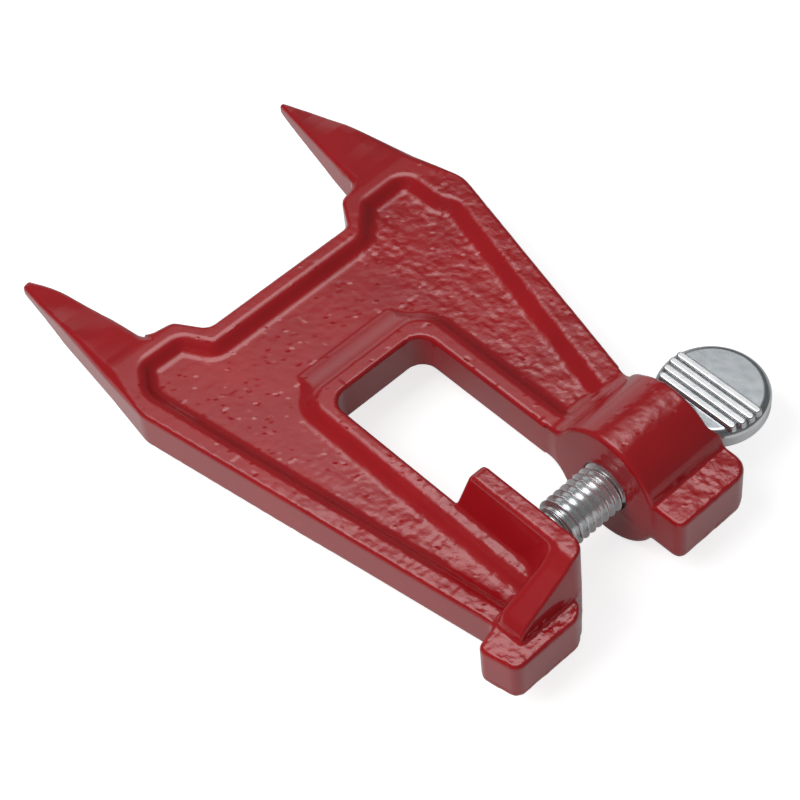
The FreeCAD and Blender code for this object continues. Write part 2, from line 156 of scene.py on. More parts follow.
def leaning(value: Array, lean: float) -> Array:
    """Distance to a leaning face: the value over the length of (1, lean), to three places."""
    return value / round(math.hypot(1.0, lean), 3)


class SmoothNoise:
    """Seeded value noise on a lattice that repeats after a number of cells."""

    CELLS = 64

    def __init__(self, seed: int) -> None:
        """Draws the lattice's values, from -1 to 1."""
        self.lattice = np.random.default_rng(seed).uniform(-1, 1, (self.CELLS,) * 3)

    def at(self, x: Array, y: Array, z: Array, pitch: float) -> Array:
        """Noise at points: the eight nearest lattice values mixed by cubic shares.

        Args:
            x, y, z: Coordinates of the points.
            pitch: Distance from one lattice value to the next.

        Returns:
            Values from -1 to 1.
        """
        whole, share = [], []
        for axis in (x, y, z):
            scaled = np.asarray(axis) / pitch
            floor = np.floor(scaled)
            t = scaled - floor
            whole.append(floor.astype(int) % self.CELLS)
            share.append(t * t * (3 - 2 * t))
        total = 0.0
        for i in (0, 1):
            for j in (0, 1):
                for k in (0, 1):
                    value = self.lattice[(whole[0] + i) % self.CELLS,
                                         (whole[1] + j) % self.CELLS,
                                         (whole[2] + k) % self.CELLS]
                    weight = 1.0
                    for side, t in zip((i, j, k), share):
                        weight = weight * (t if side else 1 - t)
                    total = total + weight * value
        return total


WRINKLES = SmoothNoise(seed=11)
PITS = SmoothNoise(seed=29)


@dataclass(frozen=True)
class Corner:
    """Corner of an outline, with the radius that rounds it."""

    x: float
    y: float
    radius: float


class Plan:
    """Closed outline in plan: straight sides joined by tangent arcs, counter-clockwise."""

    def __init__(self, corners: Sequence[Corner]) -> None:
        """Works out each side and each arc.

        The tangent length at a corner is the radius times the tangent of half its turn, and the
        arc's centre lies on the corner's bisector.

        Args:
            corners: Corners of the outline in order.
        """
        points = np.array([[c.x, c.y] for c in corners])
        radii = np.array([c.radius for c in corners])
        ahead = np.roll(points, -1, axis=0) - points
        ahead /= np.linalg.norm(ahead, axis=1)[:, None]
        behind = np.roll(ahead, 1, axis=0)
        self.turn = np.arctan2(behind[:, 0] * ahead[:, 1] - behind[:, 1] * ahead[:, 0],
                               (behind * ahead).sum(axis=1))
        reach = radii * np.tan(np.abs(self.turn) / 2)
        self.start = points - behind * reach[:, None]
        self.end = points + ahead * reach[:, None]
        side = np.stack([-behind[:, 1], behind[:, 0]], axis=1) * np.sign(self.turn)[:, None]
        self.centre = self.start + side * radii[:, None]
        self.radius = radii
        middle = points - self.centre
        self.middle = middle / np.linalg.norm(middle, axis=1)[:, None]

    def distance(self, x: Array, y: Array) -> Array:
        """Signed distance to the outline, negative inside.

        The nearest of all sides and arcs gives the distance, and the side of it on which the
        point lies gives the sign.

        Args:
            x, y: Coordinates of the points in plan.

        Returns:
            Distances in millimetres.
        """
        x, y = np.broadcast_arrays(x, y)
        best = np.full(x.shape, np.inf)
        for i in range(len(self.radius)):
            a, b = self.end[i], self.start[(i + 1) % len(self.radius)]
            along = b - a
            length = np.hypot(*along)
            unit = along / length
            t = np.clip((x - a[0]) * unit[0] + (y - a[1]) * unit[1], 0, length)
            off_x, off_y = x - a[0] - unit[0] * t, y - a[1] - unit[1] * t
            left = unit[0] * off_y - unit[1] * off_x
            found = np.where(left > 0, -1.0, 1.0) * np.hypot(off_x, off_y)
            best = np.where(np.abs(found) < np.abs(best), found, best)
            off_x, off_y = x - self.centre[i][0], y - self.centre[i][1]
            far = np.hypot(off_x, off_y)
            facing = off_x * self.middle[i][0] + off_y * self.middle[i][1]
            inside_arc = facing >= far * math.cos(abs(self.turn[i]) / 2)
            found = (far - self.radius[i]) * np.sign(self.turn[i])
            nearer = inside_arc & (np.abs(found) < np.abs(best))
            best = np.where(nearer, found, best)
        return best


class Grid:
    """Grid of nodes over a box, which turns the zero level of a field into a closed mesh."""

    PROJECTIONS = 3
    NUDGE = 0.02
    LEAST_STEEPNESS = 0.1

    def __init__(self, low: Sequence[float], high: Sequence[float], step: float) -> None:
        """Lays a grid of nodes over a box.

        Args:
            low: Lowest corner of the box.
            high: Highest corner of the box.
            step: Distance from node to node.
        """
        self.low = np.array(low, float)
        self.step = step
        self.counts = np.ceil((np.array(high) - self.low) / step).astype(int) + 1

    def nodes(self) -> list[Array]:
        """Coordinates of the grid's nodes along each axis, shaped to be combined."""
        lines = [self.low[k] + self.step * np.arange(self.counts[k]) for k in range(3)]
        return [lines[0][:, None, None], lines[1][None, :, None], lines[2][None, None, :]]

    def wrap(self, field: Field) -> tuple[Array, Array]:
        """Vertices and quads of the surface.

        Each cell that the surface crosses gets one vertex, at the mean of the crossings on its
        twelve edges, and each crossed grid edge gets the quad of the four cells around it.

        Args:
            field: Field whose zero level is wrapped.

        Returns:
            Vertices and quads.
        """
        values = np.broadcast_to(field(*self.nodes()), tuple(self.counts))
        cells = tuple(self.counts - 1)
        total = np.zeros(cells + (3,))
        number = np.zeros(cells)
        crossings = []
        for axis in range(3):
            along = np.moveaxis(values, axis, 0)
            first, second = along[:-1], along[1:]
            first_in = first < 0
            crossed = first_in != (second < 0)
            others = [k for k in range(3) if k != axis]
            share = np.where(crossed, first / np.where(crossed, first - second, 1.0), 0.0)
            crossings.append((crossed, first_in))
            for up in (slice(None, -1), slice(1, None)):
                for over in (slice(None, -1), slice(1, None)):
                    hit = crossed[:, up, over]
                    place = np.zeros(hit.shape + (3,))
                    place[..., axis] = share[:, up, over]
                    place[..., others[0]] = 1.0 if up.start else 0.0
                    place[..., others[1]] = 1.0 if over.start else 0.0
                    place *= hit[..., None]
                    total += np.moveaxis(place, 0, axis)
                    number += np.moveaxis(hit, 0, axis)
        used = number > 0
        label = np.full(cells, -1)
        label[used] = np.arange(used.sum())
        corner = np.argwhere(used)
        vertices = self.low + self.step * (corner + total[used] / number[used][:, None])
        quads = [self._quads(label, axis, *crossings[axis]) for axis in range(3)]
        return vertices, np.concatenate(quads)

    @staticmethod
    def _quads(label: Array, axis: int, crossed: Array, first_in: Array) -> Array:
        """Quads round the crossed grid edges along one axis, facing out of the metal.

        Args:
            label: Number of each cell's vertex.
            axis: Axis of the edges.
            crossed: Whether each edge is crossed.
            first_in: Whether each edge starts in the metal.

        Returns:
            Four vertex numbers for each crossed edge.
        """
        cells = np.moveaxis(label, axis, 0)
        inner = crossed[:, 1:-1, 1:-1]
        place = np.argwhere(inner)
        a, b, c = place[:, 0], place[:, 1], place[:, 2]
        ring = np.stack([cells[a, b, c], cells[a, b + 1, c],
                         cells[a, b + 1, c + 1], cells[a, b, c + 1]], axis=1)
        flip = first_in[:, 1:-1, 1:-1][inner] == (axis == 1)
        ring[flip] = ring[flip][:, ::-1]
        return ring

    def settle(self, vertices: Array, field: Field) -> tuple[Array, Array]:
        """Moves vertices onto the zero level and gives the outward direction there.

        Each step moves a vertex against the field's gradient by the field's value over the
        gradient's squared length.

        Args:
            vertices: Points near the surface.
            field: Field with its fine relief.

        Returns:
            Vertices and their unit normals.
        """
        for _ in range(self.PROJECTIONS):
            slope = self._gradient(vertices, field)
            steep = np.maximum((slope ** 2).sum(axis=1), self.LEAST_STEEPNESS)
            move = slope * (field(*vertices.T) / steep)[:, None]
            vertices = vertices - np.clip(move, -self.step, self.step)
        slope = self._gradient(vertices, field)
        return vertices, slope / np.linalg.norm(slope, axis=1)[:, None]

    def _gradient(self, points: Array, field: Field) -> Array:
        """Slope of the field from central differences.

        Args:
            points: Points, one in each row.
            field: The field.

        Returns:
            Slope along x, y and z at each point.
        """
        parts = []
        for axis in range(3):
            ahead, behind = points.copy(), points.copy()
            ahead[:, axis] += self.NUDGE
            behind[:, axis] -= self.NUDGE
            parts.append((field(*ahead.T) - field(*behind.T)) / (2 * self.NUDGE))
        return np.stack(parts, axis=1)


def place_object(name: str, data: bpy.types.ID) -> bpy.types.Object:
    """New object in the scene.

    Args:
        name: Name of the object.
        data: Mesh, lamp or camera that it shows.

    Returns:
        Object at the origin.
    """
    thing = bpy.data.objects.new(name, data)
    bpy.context.scene.collection.objects.link(thing)
    return thing


def make_piece(name: str, vertices: Array, faces: list[list[int]], normals: Array | None = None,
               marks: dict[str, Array] | None = None) -> bpy.types.Object:
    """Blender object from casting coordinates.

    Args:
        name: Name of the piece.
        vertices: Points in millimetres, in casting coordinates.
        faces: Vertex numbers of each face.
        normals: Unit normals for the shading, or None for smooth ones.
        marks: Values at each vertex that materials read, by name.

    Returns:
        Object at the origin, its place in its mesh.
    """
    mesh = bpy.data.meshes.new(name)
    mesh.from_pydata(((vertices + SHIFT) * MM).tolist(), [], faces)
    for mark, values in (marks or {}).items():
        layer = mesh.attributes.new(mark, "FLOAT", "POINT")
        layer.data.foreach_set("value", values.astype(np.float32))
    mesh.shade_smooth()
    if normals is not None:
        mesh.normals_split_custom_set_from_vertices(normals.tolist())
    mesh.update()
    return place_object(name, mesh)


def dress(piece: bpy.types.Object, material: bpy.types.Material, body: Body, slot: Slot,
          *nodes: str) -> None:
    """Gives a piece its material and body, and puts it in place of CAD nodes.

    Args:
        piece: Piece of the object.
        material: Its finish.
        body: Body that it rides on.
        slot: Material slot of the record; not used.
        nodes: CAD nodes that it stands for.
    """
    piece.data.materials.append(material)
    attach(piece, body.value)
    if nodes:
        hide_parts(*nodes)


class Nodes:
    """Node tree that is built node by node."""

    def __init__(self, tree: bpy.types.NodeTree) -> None:
        """Takes over a tree."""
        self.tree = tree

    def add(self, kind: str, **settings: object) -> bpy.types.Node:
        """New node.

        Args:
            kind: Type of the node.
            settings: Attributes, by name.

        Returns:
            The node.
        """
        node = self.tree.nodes.new(kind)
        for key, value in settings.items():
            setattr(node, key, value)
        return node

    def link(self, source: Socket, target: Socket) -> None:
        """Joins an output to an input."""
        self.tree.links.new(source, target)

    def ramp(self, value: Socket, *stops: tuple[float, Colour], curve: str = "LINEAR") -> Socket:
        """Colour ramp.

        Args:
            value: Number that picks the place.
            stops: Places from 0 to 1, each with the colour there.
            curve: How the colour runs from stop to stop.

        Returns:
            The colour.
        """
        node = self.add("ShaderNodeValToRGB")
        node.color_ramp.interpolation = curve
        elements = node.color_ramp.elements
        while len(elements) < len(stops):
            elements.new(0.5)
        for element, (place, colour) in zip(elements, stops):
            element.position = place
            element.color = colour
        self.link(value, node.inputs["Fac"])
        return node.outputs["Color"]

    def maths(self, operation: Operation, a: Socket, b: Socket | float) -> Socket:
        """Works out one number from two.

        Args:
            operation: What is done with them.
            a: First number.
            b: Second number.

        Returns:
            The result.
        """
        node = self.add("ShaderNodeMath", operation=operation.value)
        self.link(a, node.inputs[0])
        if isinstance(b, (int, float)):
            node.inputs[1].default_value = b
        else:
            self.link(b, node.inputs[1])
        return node.outputs["Value"]


class Shader(Nodes):
    """Nodes of a new material."""

    def __init__(self, name: str) -> None:
        """Makes the material with its shader and output.

        Args:
            name: Name of the material.
        """
        self.material = bpy.data.materials.new(name)
        self.material.use_nodes = True
        super().__init__(self.material.node_tree)
        self.surface = self.tree.nodes["Principled BSDF"].inputs

    def give(self, values: dict[str, float | Colour]) -> None:
        """Gives sockets of the surface their values, by name."""
        for name, value in values.items():
            self.surface[name].default_value = value

    def noise(self, scale: float, detail: float, stretch: Triple | None = None) -> Socket:
        """Noise on object coordinates.

        Args:
            scale: One over the size of its features, in metres.
            detail: Number of finer noises that are added.
            stretch: Scale along each axis, or None for the same along all.

        Returns:
            Noise about 0.5.
        """
        place = self.add("ShaderNodeTexCoord").outputs["Object"]
        if stretch is not None:
            mapping = self.add("ShaderNodeMapping")
            mapping.inputs["Scale"].default_value = stretch
            self.link(place, mapping.inputs["Vector"])
            place = mapping.outputs["Vector"]
        node = self.add("ShaderNodeTexNoise")
        node.inputs["Scale"].default_value = scale
        node.inputs["Detail"].default_value = detail
        self.link(place, node.inputs["Vector"])
        return node.outputs["Fac"]

    def bump(self, height: Socket, depth: float, base: Socket | None = None) -> Socket:
        """Bump of the surface.

        Args:
            height: Height from 0 to 1.
            depth: Height in metres that 1 stands for.
            base: Bump that it lies on.

        Returns:
            The normal.
        """
        node = self.add("ShaderNodeBump")
        node.inputs["Distance"].default_value = depth
        self.link(height, node.inputs["Height"])
        if base is not None:
            self.link(base, node.inputs["Normal"])
        return node.outputs["Normal"]


@dataclass(frozen=True)
class Enamel:
    """Glossy deep red enamel on a rough casting."""

    deep: Colour = (0.31, 0.004, 0.008, 1.0)
    bright: Colour = (0.38, 0.006, 0.010, 1.0)
    cloud_stops: Span = (0.3, 0.7)
    roughness: float = 0.35
    shine: float = 0.2
    gloss_roughness: float = 0.07
    cloud_scale: float = 60.0
    cloud_detail: float = 4.0
    grit_scale: float = 1100.0
    grit_detail: float = 3.0
    grit_depth: float = 0.00008
    wave_scale: float = 420.0
    wave_detail: float = 2.0
    wave_depth: float = 0.00008

    def build(self) -> bpy.types.Material:
        """Makes the clouded red, with fine waves and grit where the casting is rough.

        Returns:
            The material, which reads the piece's "roughcast" values.
        """
        shader = Shader("red_enamel")
        clouds = shader.noise(self.cloud_scale, self.cloud_detail)
        low, high = self.cloud_stops
        shader.link(shader.ramp(clouds, (low, self.deep), (high, self.bright)),
                    shader.surface["Base Color"])
        shader.give({"Roughness": self.roughness, "Specular IOR Level": self.shine,
                     "Coat Weight": 1.0, "Coat Roughness": self.gloss_roughness})
        rough = shader.add("ShaderNodeAttribute", attribute_name="roughcast").outputs["Fac"]
        grit = shader.noise(self.grit_scale, self.grit_detail)
        grit = shader.maths(Operation.PRODUCT, grit, rough)
        waves = shader.noise(self.wave_scale, self.wave_detail)
        waves = shader.maths(Operation.PRODUCT, waves, rough)
        normal = shader.bump(grit, self.grit_depth, shader.bump(waves, self.wave_depth))
        shader.link(normal, shader.surface["Normal"])
        shader.link(normal, shader.surface["Coat Normal"])
        return shader.material


@dataclass(frozen=True)
class ZincPlate:
    """Bright zinc plating, slightly bluish, with turning marks and small specks."""

    pale: Colour = (0.84, 0.86, 0.87, 1.0)
    dull: Colour = (0.70, 0.73, 0.74, 1.0)
    # painted shade: colour that the head's faces between and below the ribs are multiplied towards
    face: Colour = (0.60, 0.62, 0.64, 1.0)
    cloud_stops: Span = (0.3, 0.65)
    metal: float = 0.85
    roughness: float = 0.2
    cloud_scale: float = 350.0
    cloud_detail: float = 5.0
    speck_scale: float = 1600.0
    speck_detail: float = 2.0
    speck_depth: float = 0.000006
    lathe_scale: float = 900.0
    lathe_detail: float = 1.0
    lathe_stretch: Triple = (0.02, 6.0, 0.02)
    lathe_depth: float = 0.000012

    def build(self, name: str, turned: bool) -> bpy.types.Material:
        """Makes the zinc plating.

        Args:
            name: Name of the material.
            turned: Whether it has turning marks round the screw's axis. Without them, it is
            darker where the piece's "ridge" values are low: painted shade on the head's faces
            between and below the ribs.

        Returns:
            The material.
        """
        shader = Shader(name)
        clouds = shader.noise(self.cloud_scale, self.cloud_detail)
        low, high = self.cloud_stops
        colour = shader.ramp(clouds, (low, self.dull), (high, self.pale))
        if not turned:
            # painted shade: where "ridge" is low, the colour is multiplied towards the face
            # colour, darkening the head's faces between and below the ribs
            ridge = shader.add("ShaderNodeAttribute", attribute_name="ridge").outputs["Fac"]
            tinted = shader.add("ShaderNodeVectorMath", operation="MULTIPLY")
            shader.link(colour, tinted.inputs[0])
            shader.link(shader.ramp(ridge, (0.0, self.face), (1.0, WHITE)), tinted.inputs[1])
            colour = tinted.outputs["Vector"]
        shader.link(colour, shader.surface["Base Color"])
        shader.give({"Metallic": self.metal, "Roughness": self.roughness})
        specks = shader.noise(self.speck_scale, self.speck_detail)
        normal = shader.bump(specks, self.speck_depth)
        if turned:
            lines = shader.noise(self.lathe_scale, self.lathe_detail, self.lathe_stretch)
            normal = shader.bump(lines, self.lathe_depth, normal)
        shader.link(normal, shader.surface["Normal"])
        return shader.material


@dataclass(frozen=True)
class CastSkin:
    """Rough skin of the casting: how rough it is where, and the height of its wrinkles."""

    least: float = 0.02
    bridge: float = 0.08
    bridge_x: Span = (-39.0, -31.0)
    near_leg: float = 0.5
    near_leg_x: Span = (-2.0, 40.0)
    near_leg_inset: Span = (-4.0, 2.0)
    far_leg: float = 0.42
    far_leg_x: Span = (-36.0, -28.0)
    far_leg_y: Span = (27.0, 36.0)
    feet: float = 0.42
    feet_x: Span = (50.0, 62.0)
    rims_up: Band = (4.1, 4.6, 5.2, 6.2)
    web_inset: Span = (1.7, 2.7)
    web_up: Span = (3.0, 3.6)
    boss_from_y: float = 20.0
    boss_top: float = 0.4
    boss_up: Span = (13.2, 13.9)
    jaw_top: float = 0.7
    jaw_up: Span = (13.6, 14.2)
    coarse_pitch: float = 2.3
    coarse_height: float = 0.075
    fine_pitch: float = 1.05
    fine_height: float = 0.09
    fine_offset: Pair = (11.0, 7.0)
    streak_pitch: float = 1.3
    streak_height: float = 0.07
    streak_stretch: float = 3.0
    streak_y: Span = (29.0, 36.0)
    wave_pitch: float = 9.0
    wave_height: float = 0.008
    spot_pitch: float = 1.15
    spot_rough: Span = (0.05, 0.1)
    pit_step: Span = (0.74, 0.96)
    pit_depth: float = 0.05
    bump_step: Span = (0.72, 0.96)
    bump_height: float = 0.06
    highest: float = 0.06

    def roughness(self, x: Array, y: Array, z: Array, sunk: Array) -> Array:
        """How rough the cast skin is, from 0 to 1.

        Only level faces are rough. The spikes and the middle of the bridge are fine, and the
        feet, the jaw's top and the webs towards them are coarse.

        Args:
            x, y, z: Coordinates of the points.
            sunk: Distance to the web's edge in plan.

        Returns:
            The roughness.
        """
        up = np.abs(z)
        near_leg = smooth_step(x, *self.near_leg_x) * smooth_step(-y, *self.near_leg_inset)
        far_leg = smooth_step(y, *self.far_leg_y) * smooth_step(x, *self.far_leg_x)
        amount = (self.bridge * smooth_step(x, *self.bridge_x) + self.near_leg * near_leg
                  + self.far_leg * far_leg + self.feet * smooth_step(x, *self.feet_x))
        rims = band(up, *self.rims_up)
        web = smooth_step(-sunk, *self.web_inset) * (1 - smooth_step(up, *self.web_up))
        tops = np.where(y > self.boss_from_y, self.boss_top * smooth_step(up, *self.boss_up),
                        self.jaw_top * smooth_step(up, *self.jaw_up))
        return np.clip(self.least + amount * np.maximum(rims, web) + tops, 0, 1)

    def height(self, x: Array, y: Array, z: Array, sunk: Array) -> Array:
        """Height of the cast skin above the smooth form, in millimetres.

        Coarse and finer noise are scaled by the roughness, the far web has long waves along the
        leg, and a few bumps and pits stand where a slow noise is near its limits. It is cut off
        at a height that stays inside the space of the plain form.

        Args:
            x, y, z: Coordinates of the points.
            sunk: Distance to the web's edge in plan.

        Returns:
            The height.
        """
        rough = self.roughness(x, y, z, sunk)
        coarse = WRINKLES.at(x, y, z, self.coarse_pitch)
        fine = WRINKLES.at(x + self.fine_offset[0], y + self.fine_offset[1], z, self.fine_pitch)
        streaks = WRINKLES.at(x / self.streak_stretch, y, z, self.streak_pitch)
        streaks = streaks * smooth_step(y, *self.streak_y)
        wrinkles = (self.coarse_height * coarse + self.fine_height * fine
                    + self.streak_height * streaks)
        waves = WRINKLES.at(x, y, z, self.wave_pitch)
        spots = PITS.at(x, y, z, self.spot_pitch) * smooth_step(rough, *self.spot_rough)
        pits = smooth_step(-spots, *self.pit_step)
        bumps = smooth_step(spots, *self.bump_step)
        height = (rough * wrinkles + self.wave_height * waves + self.bump_height * bumps
                  - self.pit_depth * pits)
        return np.minimum(height, self.highest)


@dataclass(frozen=True)
class Casting:
    """Cast frame: legs, bridge, spikes, feet, fixed jaw, gusset and boss, in one piece of iron."""

    # Plate: two legs round the slot, with the near and the far side parted at halfway.
    half_plate: float = 4.8
    slot: float = 25.0
    halfway: float = 15.0
    leg_end: float = 72.33
    edge_round: float = 0.85
    # Sunk web, whose wall is gentler at the slot's end, and the near leg's leaning ledge.
    recess_depth: float = 2.4
    recess_round: float = 0.8
    recess_fillet: float = 1.0
    gentle_x: Band = (-13.0, -10.0, -5.2, -3.5)
    gentle_y: Band = (-3.0, 1.0, 25.0, 29.0)
    gentle_share: float = 0.55
    ledge_lean: float = 0.08
    ledge_width: float = 3.6
    ledge_x: Span = (14.0, 30.0)
    # Spikes: y at the root and slope of their middle lines, and half heights of their edges.
    spike_root: float = -40.0
    near_spike: Pair = (-20.0, 0.055)
    far_spike: Pair = (48.6, -0.09)
    spike_ends: Pair = (-75.0, -40.0)
    spike_half_widths: Pair = (1.0, 6.0)
    spike_x: Row = (-78.0, -74.0, -70.1, -65.7, -61.4, -57.2, -53.0, -48.9, -45.5, -41.0, -36.0)
    spike_inner: Row = (0.9, 1.45, 2.1, 2.5, 2.75, 2.95, 3.3, 3.75, 4.15, 4.85, 6.2)
    spike_outer: Row = (0.9, 1.45, 1.75, 2.1, 2.75, 3.55, 4.1, 4.5, 4.65, 5.0, 6.2)
    spike_share: float = 0.97
    spike_round: float = 0.8
    # Slope along the outer edges of the spikes' shoulders.
    shoulder_height: float = 4.9
    shoulder_lean: float = 0.65
    shoulder_length: float = 1.19
    shoulder_x: Span = (-38.0, -24.0)
    shoulder_inset: Pair = (1.9, -0.1)
    shoulder_y: Pair = (-15.0, 45.0)
    shoulder_round: float = 0.4
    # Fixed jaw: places of its faces, their leans over the height, and the rounds between them.
    jaw_face: float = 5.5
    jaw_half: float = 14.28
    jaw_fillet: float = 0.8
    jaw_back: float = -1.92
    jaw_back_lean: float = 0.245
    jaw_back_round: float = 1.0
    jaw_start: float = 37.1
    jaw_start_lean: float = 0.22
    jaw_start_round: float = 1.8
    jaw_end: float = 68.9
    jaw_end_lean: float = 0.19
    jaw_corner_end: float = 67.9
    jaw_corner_y: Span = (0.0, 5.0)
    jaw_corner_round: float = 5.0
    jaw_top_round: float = 0.7
    jaw_round: float = 0.6
    # Gusset: where its slope starts, its side and its foot.
    gusset_lean: float = 0.437
    gusset_top: float = 2.9
    gusset_side: float = 61.6
    gusset_side_round: float = 2.2
    gusset_foot: float = -14.5
    gusset_foot_round: float = 2.4
    gusset_fillet: float = 2.2
    gusset_fillet_growth: float = 4.5
    gusset_fillet_depth: Span = (-1.0, 10.0)
    # Boss, with its fillets towards the bridge and towards the foot, and the screw's hole.
    boss_radius: float = 14.15
    boss_squeeze: float = 1.06
    boss_end: float = 44.2
    boss_round: float = 0.9
    boss_reach: float = 36.0
    boss_fillets: Pair = (3.2, 0.8)
    leg_meets_boss: float = 44.9
    leg_slant: float = 0.254
    bore_radius: float = 5.56
    bore_start: float = 20.0
    bore_round: float = 0.2
    # Striking feet: how far the far one stands out, and how much thicker both are below.
    foot_overhang: float = 1.9
    foot_overhang_x: Span = (61.5, 64.0)
    foot_extra: float = 1.3
    foot_extra_x: Span = (60.0, 63.0)
    # Grid that the surface is worked out on.
    tips_x: float = -74.4
    near_y: float = -29.8
    far_y: float = 60.8
    margin: float = 1.5
    step: float = 0.55
    skin: CastSkin = CastSkin()

    def outline(self) -> Plan:
        """Outer outline of the plate: slot, far foot and spike, bridge, near spike and foot."""
        return Plan([
            Corner(0.0, 0.0, 4.0), Corner(0.0, self.slot, 4.0),
            Corner(self.leg_end, self.slot, 2.2),
            Corner(self.leg_end, self.boss_end + self.foot_overhang, 4.8),
            Corner(62.0, self.boss_end + self.foot_overhang, 1.0),
            Corner(self.leg_meets_boss, self.boss_end, 1.0), Corner(-24.8, 61.9, 10.0),
            Corner(-66.2, 54.3, 40.0), Corner(-74.5, 52.0, 0.6), Corner(-73.9, 50.9, 0.6),
            Corner(-40.6, 43.9, 3.4), Corner(-39.4, 38.9, 3.0), Corner(-32.7, 34.6, 3.0),
            Corner(-32.7, -4.6, 3.2), Corner(-39.5, -8.9, 2.6), Corner(-40.6, -15.2, 3.2),
            Corner(-66.4, -18.9, 40.0), Corner(-73.9, -21.5, 0.8), Corner(-73.3, -23.5, 0.9),
            Corner(-25.0, -29.4, 9.0), Corner(61.9, -14.85, 1.3), Corner(63.4, -20.8, 1.9),
            Corner(self.leg_end, -18.9, 2.4), Corner(self.leg_end, 0.0, 4.0)])

    def recess(self) -> Plan:
        """Edge of the sunk web inside the raised rims: slot side, far leg, bridge, near leg."""
        return Plan([
            Corner(-4.3, -3.2, 5.0), Corner(-4.3, 29.3, 6.0), Corner(38.2, 29.3, 3.0),
            Corner(38.2, 40.1, 2.0), Corner(-20.6, 55.9, 2.0), Corner(-24.6, 54.2, 2.0),
            Corner(-35.8, 54.1, 3.8), Corner(-35.6, 42.0, 3.0), Corner(-28.7, 34.6, 3.4),
            Corner(-28.7, -6.6, 2.2), Corner(-35.6, -10.4, 3.4), Corner(-35.8, -20.6, 4.0),
            Corner(-29.0, -25.2, 7.5), Corner(62.0, -10.9, 1.5), Corner(62.0, -3.4, 1.5)])

    def _spike_height(self, x: Array, y: Array) -> Array:
        """Half height of the spikes.

        Each spike's inner and outer edge fall along measured lines of points, and the face
        between them is straight across. Elsewhere the height is above the plate.

        Args:
            x, y: Coordinates of the points in plan.

        Returns:
            Heights above the parting plane.
        """
        near = y < self.halfway
        off = x - self.spike_root
        middle = np.where(near, self.near_spike[0] + self.near_spike[1] * off,
                          self.far_spike[0] + self.far_spike[1] * off)
        half_width = np.interp(x, self.spike_ends, self.spike_half_widths)
        outward = np.where(near, -1.0, 1.0) * (y - middle)
        share = np.clip(0.5 + 0.5 * outward / half_width, 0, 1)
        inner = np.interp(x, self.spike_x, self.spike_inner)
        outer = np.interp(x, self.spike_x, self.spike_outer)
        return inner + (outer - inner) * share

    def _plate(self, x: Array, y: Array, up: Array, edge: Array, sunk: Array) -> Array:
        """Plate with its rims, sunk web, spikes and feet.

        Under the top means below the rims' level and either below the web's level or below a
        slope that rises from it, of 45 degrees but gentler at the slot's end. The near leg's
        ledge along the slot leans a little outwards. The spikes are below their own falling
        faces, and their shoulders slope down to their outer edges.

        Args:
            x, y: Coordinates of the points in plan.
            up: Distance from the parting plane.
            edge: Distance to the outline in plan.
            sunk: Distance to the web's edge in plan.

        Returns:
            Field of the plate.
        """
        gentle = band(x, *self.gentle_x) * band(y, *self.gentle_y)
        slope = up - self.half_plate - sunk * (1 - self.gentle_share * gentle)
        web = blended_min(up - self.half_plate + self.recess_depth, slope / math.sqrt(2.0),
                          self.recess_fillet)
        dip = self.ledge_lean * np.clip(-y, 0.0, self.ledge_width) * smooth_step(x, *self.ledge_x)
        top = rounded_max(up - self.half_plate + dip, web, self.recess_round)
        spike = (up - self._spike_height(x, y)) * self.spike_share
        top = rounded_max(top, spike, self.spike_round)
        inset = edge + np.interp(x, self.shoulder_x, self.shoulder_inset)
        shoulder = (up - self.shoulder_height + self.shoulder_lean * inset) / self.shoulder_length
        outside = (y < self.shoulder_y[0]) | (y > self.shoulder_y[1])
        top = np.where((x < self.shoulder_x[1]) & outside,
                       rounded_max(top, shoulder, self.shoulder_round), top)
        return rounded_max(edge, top, self.edge_round)

    def _jaw(self, x: Array, y: Array, up: Array) -> Array:
        """Fixed jaw with leaning ends and back, and the gusset that backs it.

        The jaw is the common part of six planes, with its upright corner at the open end
        rounded. The gusset is a wedge under a plane that falls outwards.

        Args:
            x, y: Coordinates of the points in plan.
            up: Distance from the parting plane.

        Returns:
            Field of both.
        """
        over = up - self.half_plate
        above = up - self.jaw_half
        back = leaning(self.jaw_back + self.jaw_back_lean * up - y, self.jaw_back_lean)
        start = leaning(self.jaw_start + self.jaw_start_lean * over - x, self.jaw_start_lean)
        start = rounded_max(start, above, self.jaw_start_round)
        jaw = rounded_max(back, start, self.jaw_back_round)
        crest = leaning(above - self.gusset_lean * (y - self.gusset_top), self.gusset_lean)
        gusset = rounded_max(crest, self.gusset_side - x, self.gusset_side_round)
        gusset = rounded_max(gusset, self.gusset_foot - y, self.gusset_foot_round)
        deep = smooth_step(self.jaw_half - up, *self.gusset_fillet_depth)
        backed = blended_min(jaw, gusset, self.gusset_fillet + self.gusset_fillet_growth * deep)
        solid = rounded_max(backed, above, self.jaw_top_round)
        beside = smooth_step(y, *self.jaw_corner_y)
        edge_on = x - self.jaw_end + self.jaw_end_lean * np.maximum(over, 0)
        end = edge_on * (1 - beside) + (x - self.jaw_corner_end) * beside
        face = rounded_max(y - self.jaw_face, end, self.jaw_corner_round)
        return rounded_max(solid, face, self.jaw_round)

    def _with_boss(self, plate: Array, x: Array, y: Array, up: Array) -> Array:
        """Plate with the round boss across its far leg, both cut off along the same two faces.

        Args:
            plate: Field of the plate.
            x, y: Coordinates of the points in plan.
            up: Distance from the parting plane.

        Returns:
            Field of both.
        """
        barrel = np.hypot(self.boss_squeeze * (x - SCREW_X), up) - self.boss_radius
        back = self.boss_end + self.leg_slant * np.maximum(self.leg_meets_boss - x, 0)
        back = back + self.foot_overhang * smooth_step(x, *self.foot_overhang_x)
        ends = np.maximum(self.slot - y, y - back)
        fillet = np.where(x < SCREW_X, *self.boss_fillets)
        joined = rounded_max(blended_min(plate, barrel, fillet), ends, self.boss_round)
        return np.where((y > self.halfway) & (x > self.boss_reach), joined, plate)

